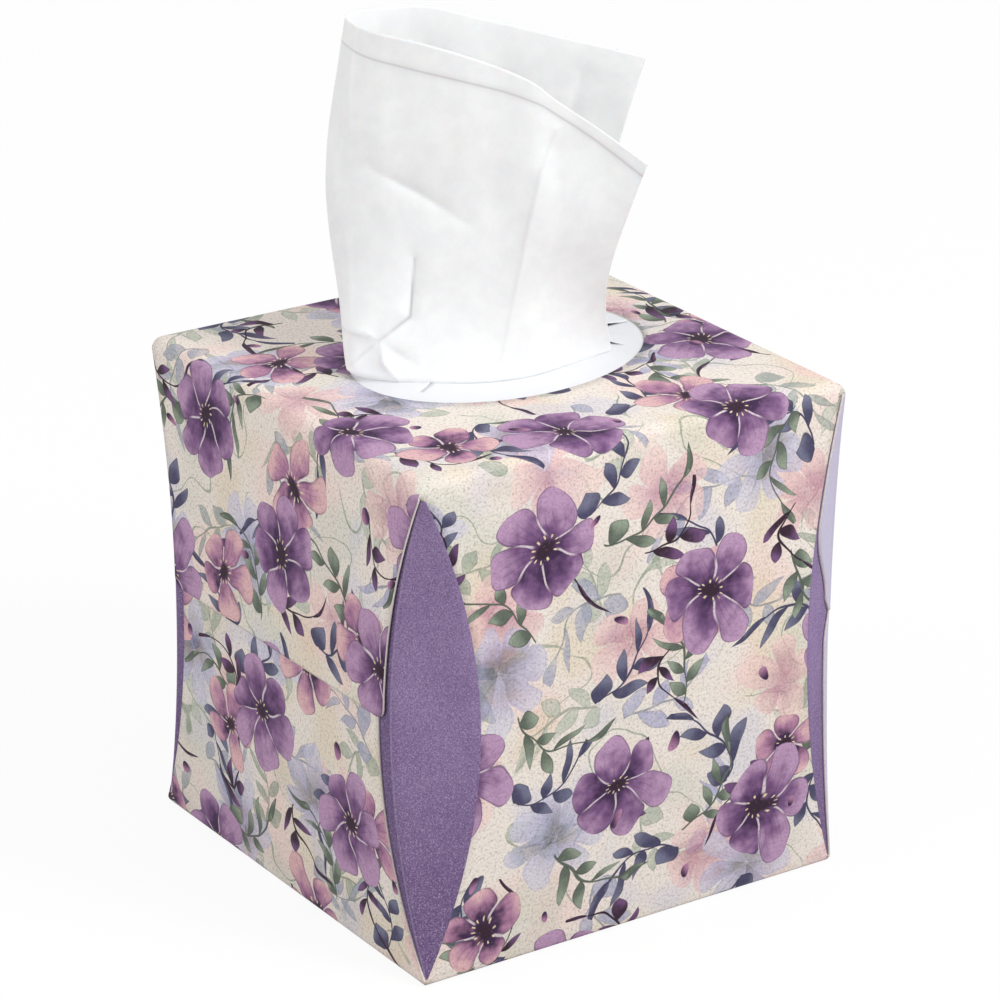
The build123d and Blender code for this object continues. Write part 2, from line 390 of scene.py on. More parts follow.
def top_panel(work, cell):
    """The top, as rings from the mouth's rim out to the folds."""
    half_x = BOX_WIDTH / 2 - TOP_FOLD
    half_y = BOX_DEPTH / 2 - TOP_FOLD
    ends = [Vector((x * half_x, y * half_y)) for x, y in ((-1, -1), (1, -1), (1, 1), (-1, 1))]
    rim = ends[:1]
    for start, end in zip(ends, ends[1:] + ends[:1]):
        rim += steps(start, end, ACROSS)[1:]
    rows = []
    for share in steps(0, 1, MOUTH_RINGS):
        row = []
        for place in rim:
            x, y = mouth_point(mouth_angle(*place)).lerp(place, share)
            row.append((Vector((x, y, BOX_HEIGHT)), (x, BOX_HEIGHT + BOX_DEPTH / 2 + y)))
        rows.append(row)
    work.grid(rows, PRINT_SLOT, cell, (-BOX_WIDTH / 2 - BAKE_MARGIN, BOX_HEIGHT - BAKE_MARGIN))


def bottom_panel(work, cell):
    half_x = BOX_WIDTH / 2 - BOARD - BASE_FOLD
    half_y = BOX_DEPTH / 2 - BASE_FOLD
    rows = []
    for y in steps(-half_y, half_y, ACROSS):
        row = [(Vector((x, y, 0)), (x, -(y + BOX_DEPTH / 2))) for x in steps(-half_x, half_x, ACROSS)]
        rows.append(row)
    work.grid(rows, PRINT_SLOT, cell, (-BOX_WIDTH / 2 - BAKE_MARGIN, -BOX_DEPTH - BAKE_MARGIN))


def flap_edge(z, trim):
    """The half depth of an end flap at a height, along its curved cut edge."""
    inset = FLAP_INSET + trim
    sweep = (HALF_FLAP**2 + inset**2) / (2 * inset)
    rise = min(abs(z - LENS_MIDDLE), HALF_FLAP)
    return BOX_DEPTH / 2 - inset + sweep - math.sqrt(sweep**2 - rise**2)


def rounded(distance):
    """How much a flap's corner is cut back at a distance from its free edge."""
    if distance >= FLAP_CORNER:
        return 0.0
    return FLAP_CORNER - math.sqrt(FLAP_CORNER**2 - (FLAP_CORNER - distance) ** 2)


def upper_wrap(z):
    """The share of the front right lens that the upper flap's margin covers at a height."""
    share = clamp((z - UPPER_WRAP_START) / UPPER_WRAP_LENGTH)
    start = WRAP * min((z - END_SEAM_HEIGHT) / UPPER_WRAP_EASE, 1.0)
    return start + (UPPER_WRAP - WRAP) * share**2 * (3 - 2 * share)


def lower_wrap(z):
    """The share of the front right lens that the lower flap's margin covers at a height."""
    return WRAP * clamp((END_SEAM_HEIGHT - z) / LOWER_WRAP_EASE)


def wrapped_margin(corner, z, cover, edge):
    """A flap's margin from its edge (a point and its print place) round onto the lens, edge first."""
    _, (u, v) = edge
    crease = Vector((corner.crease(z), -BOX_DEPTH / 2 - bow(z), z))
    line = Vector((DUST_LEVEL + bow(z), -corner.dust_line(z), z))
    lift = Vector((corner.normal_x, -corner.normal_y, 0)) * WRAP_LIFT
    row = [edge]
    for share in steps(0, cover, WRAP_COLUMNS)[1:]:
        along = (crease - line) * share
        past = along.length if v < 0 else -along.length
        row.append((line + along + lift, (u, v + past)))
    return row


def end_flap(work, corner, sign_x, upper, cell, left):
    """The upper end flap, folded down from the top, or the lower one that it is glued over.

    On the right end its front edge follows the given corner, and its margin wraps round onto the lens.
    """
    level = BOX_WIDTH / 2 if upper else BOX_WIDTH / 2 - BOARD
    fold = TOP_FOLD if upper else BASE_FOLD
    free_edge = END_SEAM_HEIGHT if upper else END_SEAM_HEIGHT + SEAM_OVERLAP
    trim = UPPER_FLAP_TRIM if upper else LOWER_FLAP_TRIM
    wrap = upper_wrap if upper else lower_wrap
    rows = []
    margin = []

    def from_fold(height):
        """Turns a height into a depth from the flap's own edge of the carton, or back."""
        return BOX_HEIGHT - height if upper else height

    def add_row(x, out, z, front, back):
        row = []
        for y in steps(-front, back, ACROSS):
            v = BOX_HEIGHT + BOX_DEPTH / 2 + y if upper else -(y + BOX_DEPTH / 2)
            row.append((Vector((sign_x * (x + out), y, z)), (sign_x * (x + from_fold(z)), v)))
        rows.append(row)

    for _, sine, cosine in fold_turns()[:-1]:
        half = BOX_DEPTH / 2 - fold + fold * sine
        add_row(level - fold + fold * sine, 0, from_fold(fold - fold * cosine), half, half)
    for z in heights(from_fold(fold), free_edge, UPPER_FLAP_ROWS if upper else LOWER_FLAP_ROWS):
        half = flap_edge(z, trim) - rounded(abs(z - free_edge))
        add_row(level, bow(z), z, corner.dust_line(z) if sign_x > 0 else half, half)
        if sign_x > 0:
            margin.append(wrapped_margin(corner, z, wrap(z), rows[-1][0]))
    origin = (left, BOX_HEIGHT - BAKE_MARGIN if upper else -BOX_DEPTH - BAKE_MARGIN)
    work.grid(rows, PRINT_SLOT, cell, origin)
    if margin:
        work.grid(margin, MARGIN_SLOT, cell, origin)


def lens_panel(work, corner, cell, shelf):
    """The plain curved card of a hollow corner, running on under the end flaps."""
    rows = []
    for z in heights(LENS_BASE, LENS_TOP, UP):
        crease = Vector((corner.crease(z), BOX_DEPTH / 2 + bow(z), z))
        line = Vector((DUST_LEVEL + bow(z), corner.dust_line(z), z))
        width = (line - crease).length
        row = []
        for share in steps(0, 1, LENS_COLUMNS):
            row.append((crease.lerp(line, share), (share - 1) * width))
        for tuck in steps(0, DUST_TUCK, TUCK_COLUMNS)[1:]:
            row.append((line - Vector((TUCK_GAP, tuck, 0)), tuck))
        placed = []
        for point, along in row:
            placed.append((Vector((point.x * corner.sign_x, point.y * corner.sign_y, z)), (along, z)))
        rows.append(placed)
    work.grid(rows, LENS_SLOT, cell, (LENS_BAKE_LEFT - LENS_BAKE_WIDTH * shelf, 0.0))


def make_carton(materials):
    shapes = corners()
    work = Patchwork()
    sleeve_panel(work, shapes, -1, (0, 0))
    sleeve_panel(work, shapes, 1, (2, 0))
    top_panel(work, (1, 0))
    bottom_panel(work, (0, 1))
    # End flaps: side, whether it is the upper one, bake cell and the print place at that cell's left edge
    for sign_x, upper, cell, left in (
        (-1, True, (1, 1), -BOX_WIDTH / 2 - 60),
        (-1, False, (2, 1), -BOX_WIDTH / 2 - 74),
        (1, True, (1, 1), BOX_WIDTH / 2 - 68),
        (1, False, (1, 2), BOX_WIDTH / 2 - 6),
    ):
        end_flap(work, shapes[1, -1], sign_x, upper, cell, left)
    for shelf, corner in enumerate(shapes.values()):
        lens_panel(work, corner, (0, 2), shelf)
    for i, point in enumerate(work.points):
        swell = noise.noise(point / PANEL_WAVE_LENGTH) * PANEL_WAVE
        free = min(point.z, BOX_HEIGHT - point.z, PANEL_WAVE_MARGIN) / PANEL_WAVE_MARGIN
        away = Vector((point.x, point.y, 0)).normalized()
        work.points[i] = point + away * swell * free
    piece = work.build("carton_card", Vector((0, 0, BOX_HEIGHT / 2)))
    for material in materials:
        piece.data.materials.append(material)
    thicken(piece, BOARD, -1, SLOT_COUNT)
    bake = piece.data.uv_layers["OFBake"].data
    for polygon in piece.data.polygons:
        if polygon.material_index > MARGIN_SLOT:
            for loop in polygon.loop_indices:
                bake[loop].uv = INSIDE_BAKE_CORNER + bake[loop].uv * INSIDE_BAKE_SCALE
    return piece


# Standing sheet: level curves from the back leaf's right end, round the left fold, to the front leaf's right
# end. A point is (to the right, away from the viewer). TOP_RISE is the free edge's height along the curve.
MOUTH_CURVE = [(26.5, 9.5), (17, 12), (5, 12), (-12, 9.5), (-24, 1.5), (-28.5, -8),
               (-27, -16.5), (-12, -21), (3, -20), (15, -12.5), (28, 2)]
SWELL_CURVE = [(27.7, 10.7), (18, 13.2), (4.5, 13.5), (-12, 11), (-27, 2.5), (-30.2, -7),
               (-30.2, -17.8), (-13, -21.5), (3.8, -20), (15, -13.2), (28.5, -0.5)]
WAIST_CURVE = [(27, 12), (18, 14), (3, 15), (-13, 11.5), (-28, 4), (-34.6, -3.5),
               (-29.5, -11), (-12, -17), (5, -18), (15, -14), (27.1, -8)]
CHEST_CURVE = [(28, 15), (18, 16), (2, 16), (-14, 12), (-29.5, 5), (-36.1, -2),
               (-30, -9), (-12, -14.5), (8.5, -17.5), (17, -15.5), (28.6, -13)]
TOP_CURVE = [(36.3, 18), (20.6, 17), (1.4, 16), (-13.1, 12), (-26.9, 6), (-31.4, 0),
             (-26.5, -6), (-11, -12), (8.5, -15.5), (17, -15.5), (36.1, -16)]
TOP_RISE = [65.8, 70, 74.9, 79.5, 80.5, 80.4, 79, 76.8, 70.8, 64.7, 51.1]
LEVELS = [0.0, 0.025, 0.3, 0.55, 1.0]
CURVES = [[Vector(point) for point in curve]
          for curve in (MOUTH_CURVE, SWELL_CURVE, WAIST_CURVE, CHEST_CURVE, TOP_CURVE)]
# Depth of the folded hem along the front leaf, from the left fold to the right end
HEM_DEPTH = [5.0, 6.0, 6.3, 4.6, 3.2, 3.0]

# Creases of each leaf: (right, up) of the points on the line, height outwards, width and how dark the
# painted shade along it is
PINCH = (-24.2, 9.5)
FRONT_CREASES = [
    ([(15.4, 59.0), (12.0, 50.0), (8.4, 32.5), (3.5, 6.0)], 1.8, 2.6, 0.25),
    ([(-26.0, 48.0), (-15.0, 43.0), (-4.6, 37.0)], -1.0, 2.6, 0.15),
    ([(-15.8, 28.0), (-17.0, 14.8), PINCH], -1.6, 1.3, 0.8),
    ([PINCH, (-27.5, 10.8), (-33.0, 10.5)], 0.9, 1.2, 0.5),
    ([PINCH, (-31.0, 3.0)], -1.0, 1.3, 0.3),
    ([PINCH, (-23.4, 5.0), (-20.0, 1.0)], 1.1, 1.1, 0.6),
    ([PINCH, (-15.0, 4.5)], -0.7, 1.5, 0.15),
]
BACK_CREASES = [
    ([(22.0, 62.0), (15.0, 38.0), (17.0, 10.0)], 1.6, 2.8, 0.15),
    ([(-14.0, 70.0), (-2.0, 45.0), (-7.0, 16.0)], 1.7, 3.0, 0.15),
    ([(-2.0, 45.0), (15.0, 38.0)], -1.2, 2.4, 0.1),
    ([(4.0, 17.0), (-7.0, 16.0), (-18.0, 8.0)], -1.3, 1.8, 0.3),
]


def smooth_curve(values, share):
    """The value at a share of the way along a smooth curve through evenly spaced values."""
    place = clamp(share) * (len(values) - 1)
    index = min(int(place), len(values) - 2)
    t = place - index
    before = values[max(index - 1, 0)]
    start, end = values[index], values[index + 1]
    after = values[min(index + 2, len(values) - 1)]
    return 0.5 * (2 * start + (end - before) * t + (2 * before - 5 * start + 4 * end - after) * t**2
                  + (3 * start - before - 3 * end + after) * t**3)


def level_curve(rise, share):
    """The sheet's (right, away) at a share of its rise and a share of its way round."""
    index = 0
    while index < len(LEVELS) - 2 and rise > LEVELS[index + 1]:
        index += 1
    before = max(index - 1, 0)
    after = min(index + 2, len(LEVELS) - 1)
    first, start, end, last = (smooth_curve(CURVES[i], share) for i in (before, index, index + 1, after))
    width = LEVELS[index + 1] - LEVELS[index]
    t = (max(rise, 0.0) - LEVELS[index]) / width
    leaving = (end - first) * (width / (LEVELS[index + 1] - LEVELS[before]))
    arriving = (last - start) * (width / (LEVELS[after] - LEVELS[index]))
    return (start * ((1 + 2 * t) * (1 - t) ** 2) + leaving * (t * (1 - t) ** 2)
            + end * (t**2 * (3 - 2 * t)) - arriving * (t**2 * (1 - t)))


def nearest_on(points, place):
    """How far a place lies from a line of points, and the share of the way along where it is nearest."""
    best = (math.inf, 0.0)
    for index, (first, second) in enumerate(zip(points, points[1:])):
        start, line = Vector(first), Vector(second) - Vector(first)
        share = clamp((place - start).dot(line) / line.length_squared)
        best = min(best, ((place - start - line * share).length, (index + share) / (len(points) - 1)))
    return best


def crease_at(creases, right, up):
    """How far the creases lift a leaf outwards at a place, and how dark the painted shade along their lines
    is there.
    """
    lift = 0.0
    shade = 0.0
    for points, height, width, painted_shade in creases:
        gap, share = nearest_on(points, Vector((right, up)))
        fade = math.sin(math.pi * clamp(share, CREASE_FADE, 1 - CREASE_FADE))
        lift += height * fade * math.exp(-gap / width)
        shade = max(shade, painted_shade * math.sqrt(fade) * math.exp(-((gap / CREASE_SHADE_WIDTH) ** 2)))
    return lift, shade


FOLD_HALF = 0.02
FOLD_EASE = 0.08


def on_leaf(share):
    """0 round the left fold, rising to 1 on either leaf."""
    return clamp((abs(share - 0.5) - FOLD_HALF) / FOLD_EASE)


def sheet_place(share, rise):
    """The sheet's (right, away, up) before its creases."""
    right, away = level_curve(rise, share)
    drop = BOX_HEIGHT - CLIP_CREST
    return right, away, rise * (smooth_curve(TOP_RISE, share) if rise > 0 else drop)


NO_HEM = 99.0


def below_hem(share, rise):
    """How far a point of the front leaf lies below the hem's stitch line."""
    if share < 0.5 or rise < 0:
        return NO_HEM
    return (1 - rise) * smooth_curve(TOP_RISE, share) - smooth_curve(HEM_DEPTH, 2 * share - 1)


FRONT_SHIFT = 3.0
SIDEWAYS_SHIFT = Vector((7.3, 0, 0))


def sheet_sample(share, rise):
    """A point of the standing sheet and its painted crease shade. Under a rise of 0 it runs down to the
    clip.
    """
    right, away, up = sheet_place(share, rise)
    front = share > 0.5
    outwards = -1 if front else 1
    leaf = on_leaf(share)
    lift, shade = crease_at(FRONT_CREASES if front else BACK_CREASES, right, up)
    away += outwards * leaf * lift
    shift = FRONT_SHIFT * leaf if front else 0
    wander = Vector((right * WRINKLES_ACROSS, away * WRINKLES_ACROSS + shift, up * WRINKLES_UP))
    away += noise.noise(wander) * WRINKLE * min(1.0, FOOT_WRINKLE + rise)
    right += noise.noise(wander + SIDEWAYS_SHIFT) * SIDE_WRINKLE
    away += outwards * leaf * HEM_STEP / (1 + math.exp(below_hem(share, rise) / HEM_EDGE))
    x, y = turned(right, away, SHEET_TURN)
    return Vector((x, y + SHEET_SETBACK, BOX_HEIGHT + up)), shade * leaf


def over_clip(length):
    """The (y, z) at a length of the way from the clip's middle over its shoulder and down its leg."""
    flat = CLIP_HALF_DEPTH - CLIP_SHOULDER
    bend = CLIP_SHOULDER + SKIRT_LIFT
    beyond = max(abs(length) - flat, 0.0)
    angle = min(beyond / bend, math.pi / 2)
    y = min(abs(length), flat) + bend * math.sin(angle)
    z = CLIP_CREST - CLIP_SHOULDER + bend * math.cos(angle) - max(beyond - bend * math.pi / 2, 0.0)
    return math.copysign(y, length), z


def make_sheet(material):
    work = Patchwork()
    rows = []
    for rise in [-1.0, -0.5] + steps(0, 1, SHEET_ROWS):
        row = []
        for share in steps(0, 0.5, BACK_COLUMNS) + steps(0.5, 1, FRONT_COLUMNS)[1:]:
            point, shade = sheet_sample(share, rise)
            # The print map's u carries the painted crease shade, its v the depth below the hem.
            row.append((point, (shade, below_hem(share, rise))))
        rows.append(row)
    work.grid(rows)
    rows = []
    for length in steps(-SKIRT_REACH, SKIRT_REACH, SKIRT_ROWS):
        y, z = over_clip(length)
        half = lerp(SKIRT_LENGTH, SKIRT_LEG_LENGTH, min((CLIP_CREST - z) / CLIP_SHOULDER, 1.0)) / 2
        rows.append([(Vector((x, y, z)), (0.0, NO_HEM)) for x in steps(-half, half, SKIRT_COLUMNS)])
    work.grid(rows)
    piece = work.build("standing_sheet")
    piece.data.materials.append(material)
    thicken(piece, SHEET_THICKNESS, 0)
    return piece


# Film in the mouth: tongues between slits, pushed up a little by the sheet that they grip


def distance_to_outline(outline, angle):
    """How far a closed outline lies from the mouth's centre in a direction."""
    direction = Vector((math.cos(angle), math.sin(angle)))
    furthest = 0.0
    for first, second in zip(outline, outline[1:] + outline[:1]):
        start, side = first - MOUTH_CENTRE, second - first
        turn = direction.cross(side)
        if abs(turn) > 1e-9:
            distance = start.cross(side) / turn
            share = start.cross(direction) / turn
            if distance > 0 and 0 <= share <= 1:
                furthest = max(furthest, distance)
    return furthest


UNDER_CARD = 0.3
LEAST_RING = 0.5
UNCUT = (0.0, 0.0, 1.0, 0.0)


def make_film(material):
    """The ring from the sheet's foot to the mouth's rim, and on for a share of its width under the card."""
    work = Patchwork()
    level = BOX_HEIGHT - BOARD
    slits = [OPEN_SLITS.get(i % SLIT_COUNT, UNCUT) for i in range(SLIT_COUNT + 1)]
    angles = [math.radians(360 * i / SLIT_COUNT + slit[0]) for i, slit in enumerate(slits)]
    foot_outline = [sheet_sample(share, 0.0)[0].xy for share in steps(0, 1, FOOT_STEPS)]
    rim_outline = [mouth_point(angle) for angle in steps(0, 2 * math.pi, RIM_STEPS)[:-1]]
    for tongue in range(SLIT_COUNT):
        columns = []
        for column in range(FILM_COLUMNS + 1):
            angle = lerp(angles[tongue], angles[tongue + 1], column / FILM_COLUMNS)
            rim = distance_to_outline(rim_outline, angle)
            foot = distance_to_outline(foot_outline, angle) + FILM_GAP
            columns.append((angle, min(foot, rim - LEAST_RING), rim))
        rows = []
        for share in steps(0, 1, FILM_ROWS) + [1 + UNDER_CARD / 2, 1 + UNDER_CARD]:
            row = []
            for column, (angle, foot, rim) in enumerate(columns):
                edge = 2 * column / FILM_COLUMNS - 1
                _, width, reach, lift = slits[tongue] if edge < 0 else slits[tongue + 1]
                open_share = max(0.0, 1 - share / reach)
                beyond = max(0.0, share - 1) / UNDER_CARD * FILM_OVERLAP
                radius = lerp(foot, rim, min(share, 1.0)) + beyond
                placed = angle - edge**3 * width / 2 * open_share / radius
                rise = max(0.0, 1 - share) ** 2 * FILM_LIFT + max(0.0, -edge) ** 3 * open_share * lift
                point = MOUTH_CENTRE + Vector((math.cos(placed), math.sin(placed))) * radius
                row.append((Vector((point.x, point.y, level + rise)), (point.x, point.y)))
            rows.append(row)
        work.grid(rows)
    piece = work.build("film_ring")
    piece.data.materials.append(material)
    thicken(piece, FILM, -1)
    return piece


# Node trees written as sums


class Term:
    """A value in a node tree that takes part in plain arithmetic."""

    def __init__(self, graph, socket):
        self.graph = graph
        self.socket = socket

    def __add__(self, other):
        return self.graph.math("ADD", self, other)

    def __sub__(self, other):
        return self.graph.math("SUBTRACT", self, other)

    def __rsub__(self, other):
        return self.graph.math("SUBTRACT", other, self)

    def __mul__(self, other):
        return self.graph.math("MULTIPLY", self, other)

    def __truediv__(self, other):
        return self.graph.math("DIVIDE", self, other)

    def __abs__(self):
        return self.graph.math("ABSOLUTE", self)


class Graph:
    """The nodes of a new material, or of the owner that is given."""

    # Which sockets of a mix node are for colours
    COLOUR_A, COLOUR_B, COLOUR_OUT = 6, 7, 2

    def __init__(self, name, owner=None):
        self.owner = owner or bpy.data.materials.new(name)
        self.owner.use_nodes = True
        self.tree = self.owner.node_tree
        self.tree.nodes.clear()

    def node(self, kind, **settings):
        made = self.tree.nodes.new(kind)
        for key, value in settings.items():
            setattr(made, key, value)
        return made

    def feed(self, socket, value):
        if isinstance(value, Term):
            self.tree.links.new(value.socket, socket)
        else:
            socket.default_value = value

    def made(self, kind, output, inputs, **settings):
        """One output of a new node, whose inputs are given by their names or numbers."""
        made = self.node(kind, **settings)
        for key, value in inputs.items():
            self.feed(made.inputs[key], value)
        return Term(self, made.outputs[output])

    def math(self, operation, *values):
        return self.made("ShaderNodeMath", 0, dict(enumerate(values)), operation=operation)

    def vector_math(self, operation, *values, output=0):
        return self.made("ShaderNodeVectorMath", output, dict(enumerate(values)), operation=operation)

    def smooth(self, low, high, value):
        inputs = {"Value": value, "From Min": low, "From Max": high}
        return self.made("ShaderNodeMapRange", "Result", inputs, interpolation_type="SMOOTHSTEP")

    def uv(self, name):
        return self.made("ShaderNodeUVMap", "UV", {}, uv_map=name)

    def place(self):
        return self.made("ShaderNodeTexCoord", "Object", {})

    def noise(self, vector, scale, detail=2.0, roughness=0.5, output="Fac"):
        inputs = {"Vector": vector, "Scale": scale, "Detail": detail, "Roughness": roughness}
        return self.made("ShaderNodeTexNoise", output, inputs)

    def luck(self, vector):
        return self.made("ShaderNodeTexWhiteNoise", "Color", {"Vector": vector}, noise_dimensions="3D")

    def luck_of(self, value):
        return self.made("ShaderNodeTexWhiteNoise", "Value", {"W": value}, noise_dimensions="1D")

    def parts(self, vector):
        made = self.node("ShaderNodeSeparateXYZ")
        self.feed(made.inputs[0], vector)
        return [Term(self, socket) for socket in made.outputs]

    def turn(self, vector, angle):
        inputs = {"Vector": vector, "Angle": angle}
        return self.made("ShaderNodeVectorRotate", "Vector", inputs, rotation_type="Z_AXIS")

    def mix(self, factor, first, second, blend="MIX"):
        inputs = {"Factor": factor, self.COLOUR_A: first, self.COLOUR_B: second}
        return self.made("ShaderNodeMix", self.COLOUR_OUT, inputs, data_type="RGBA", blend_type=blend)

    def bump(self, height, strength, distance):
        inputs = {"Strength": strength, "Distance": distance, "Height": height}
        return self.made("ShaderNodeBump", "Normal", inputs)

    def end(self, shader, output="ShaderNodeOutputMaterial"):
        """Ends the tree in a shader and gives the tree's owner."""
        self.feed(self.node(output).inputs["Surface"], shader)
        return self.owner

    def finish(self, colour, roughness, normal, specular, others=None):
        inputs = {"Base Color": colour, "Roughness": roughness, "Normal": normal,
                  "Specular IOR Level": specular, **(others or {})}
        return self.end(self.made("ShaderNodeBsdfPrincipled", 0, inputs))


# Floral print

CREAM = linear(235, 226, 217)
INK = {
    "violet_deep": linear(58, 34, 70),
    "violet": linear(122, 86, 130),
    "violet_light": linear(186, 150, 184),
    "mauve": linear(178, 128, 160),
    "pink": linear(226, 184, 186),
    "pink_deep": linear(186, 122, 146),
    "pink_pale": linear(240, 212, 204),
    "lavender": linear(172, 170, 204),
    "lavender_pale": linear(208, 205, 222),
    "slate": linear(72, 70, 98),
    "slate_light": linear(120, 122, 146),
    "green": linear(94, 104, 92),
    "sage": linear(150, 162, 144),
    "sage_pale": linear(198, 203, 188),
    "ochre": linear(218, 198, 150),
    "umber": linear(48, 28, 44),
    "straw": linear(232, 212, 176),
    "petal_gap": linear(232, 218, 224),
}


class Scatter:
    """One motif to a cell of a turned grid, each at its own place and angle. Lengths are in millimetres."""

    def __init__(self, graph, place, cell, turn, seed, jitter):
        self.graph = graph
        rotated = graph.turn(place, math.radians(turn))
        scale = (1 / cell, 1 / cell, 0.0)
        grid = graph.vector_math("MULTIPLY_ADD", rotated, scale, (seed * 3.37, seed * 1.71, seed + 0.5))
        corner = graph.vector_math("FLOOR", grid)
        luck = graph.luck(corner)
        lowest = 0.5 - jitter / 2
        centre = graph.vector_math("MULTIPLY_ADD", luck, (jitter, jitter, 0.0), (lowest, lowest, 0.5))
        local = graph.vector_math("SUBTRACT", graph.vector_math("SUBTRACT", grid, corner), centre)
        local = graph.vector_math("MULTIPLY", local, (cell, cell, 0.0))
        self.luck, _, spin = graph.parts(luck)
        self.chance = graph.luck_of(self.luck * 91.7 + spin * 53.3)
        self.local = graph.turn(local, spin * (2 * math.pi))
        self.x, self.y, _ = graph.parts(self.local)

    def shown(self, share):
        """1 in the share of cells that hold their motif, otherwise 0."""
        return self.graph.math("LESS_THAN", self.chance, share)


class Blossom:
    """Rounded petals about the middle of each cell, with the shades that petals have in watercolour."""

    def __init__(self, graph, cells, count, reach, breadth):
        self.graph = graph
        self.radius = graph.vector_math("LENGTH", cells.local, output=1)
        self.turn = graph.math("ARCTAN2", cells.y, cells.x)
        sector = self.turn * (count / (2 * math.pi))
        index = graph.math("ROUND", sector)
        angle = (sector - index) * (2 * math.pi / count)
        self.petal = graph.luck_of(graph.math("FLOORED_MODULO", index, count) + cells.luck * 41.0)
        length = self.petal * (0.28 * reach) + 0.76 * reach
        self.along = self.radius * graph.math("COSINE", angle) / length
        across = self.radius * abs(graph.math("SINE", angle))
        tip = graph.math("MAXIMUM", 1.0 - graph.math("POWER", self.along, 4.0), 0.0)
        half = graph.math("POWER", self.along, 0.7) * graph.math("SQRT", tip) * breadth
        self.inside = half - across
        self.side = across / (half + 0.001)
        self.mask = graph.smooth(0.0, 0.3, self.inside)
        parting = self.radius * graph.math("SINE", math.pi / count - abs(angle))
        starts = graph.smooth(0.16 * reach, 0.24 * reach, self.radius)
        ends = graph.smooth(0.6 * reach, 0.4 * reach, self.radius)
        self.streak = graph.smooth(0.34, 0.12, parting) * (starts * ends)

    def colour(self, tone, inner, middle, outer, line):
        """Dark at the heart and pale outside, uneven between petals, with a fine line round each."""
        graph = self.graph
        spread = self.along + tone * 1.3 + self.petal * 0.5 - 0.9
        shade = graph.mix(graph.smooth(0.05, 0.55, spread), inner, middle)
        shade = graph.mix(graph.smooth(0.4, 1.0, spread), shade, outer)
        veins = graph.smooth(0.7, 1.0, graph.math("COSINE", self.side * 16.0))
        shade = graph.mix(veins * graph.smooth(1.0, 0.3, self.along) * 0.3, shade, inner)
        return graph.mix(graph.smooth(0.75, 0.25, self.inside) * 0.55, shade, line)


class Sprig:
    """Leaves in turn along both sides of a curved stem in the middle of each cell, and one at its end."""

    def __init__(self, graph, cells, reach, spacing, leaf, breadth, bend):
        curve = cells.y - cells.x * cells.x * (bend / reach**2)
        side = abs(curve)
        stagger = graph.math("GREATER_THAN", curve, 0.0) * 0.5
        node = cells.x / spacing + stagger
        index = graph.math("FLOOR", node)
        place = (node - index) * spacing - 0.1 * spacing
        along = place * 0.7 + side * 0.71
        across = abs(side * 0.7 - place * 0.71)
        middle = abs(index + 0.5 - stagger) * spacing
        kept = graph.math("LESS_THAN", middle, reach - 0.25 * spacing)
        share = along * (2 / leaf) - 1.0
        pair = (1.0 - share * share) * (breadth - cells.x * (0.3 * breadth / reach)) - across
        tip = (cells.x - reach + 0.6) * (2 / leaf) - 1.0
        end = (1.0 - tip * tip) * (0.8 * breadth) - side
        self.edge = graph.math("MAXIMUM", pair * kept - (1.0 - kept), end)
        self.shade = graph.smooth(-0.9, 0.9, graph.math("MINIMUM", share, 1.0 - side * 0.1))
        self.leaves = graph.smooth(0.0, 0.25, self.edge)
        stem_end = graph.smooth(reach, reach - 0.4, abs(cells.x))
        self.stem = graph.smooth(0.36, 0.18, side) * stem_end


# Sprigs: cell, turn, seed, reach, spacing, leaf, breadth, two inks and the share of cells that hold one
PALE_SPRIGS = (
    (33.0, 12, 1, 9.0, 7.0, 7.6, 1.8, "sage_pale", "sage", 0.85),
    (36.0, 57, 2, 10.5, 7.4, 8.4, 1.9, "sage", "lavender", 0.85),
)
DARK_SPRIGS = (
    (34.0, 40, 21, 9.5, 7.2, 8.2, 1.9, "slate", "slate_light", 0.85),
    (37.0, 75, 22, 11.0, 6.6, 7.4, 1.6, "green", "sage", 0.85),
    (31.0, 8, 23, 7.5, 6.4, 7.0, 1.5, "umber", "violet", 0.7),
)
# Flowers: cell, turn, seed, petals, reach, breadth, inks from the heart out and the same share of cells
PALE_FLOWERS = (
    (41.0, 20, 11, 5, 13.5, 6.6, ("pink_deep", "pink", "pink_pale"), 0.6),
    (43.0, 66, 12, 7, 14.5, 5.4, ("slate", "lavender", "lavender_pale"), 0.75),
)
DARK_FLOWERS = (
    (44.0, 48, 31, 5, 12.5, 6.0, ("violet_deep", "mauve", "pink"), 0.7),
    (45.0, 24, 32, 6, 15.0, 7.4, ("violet_deep", "violet", "violet_light"), 0.95),
)


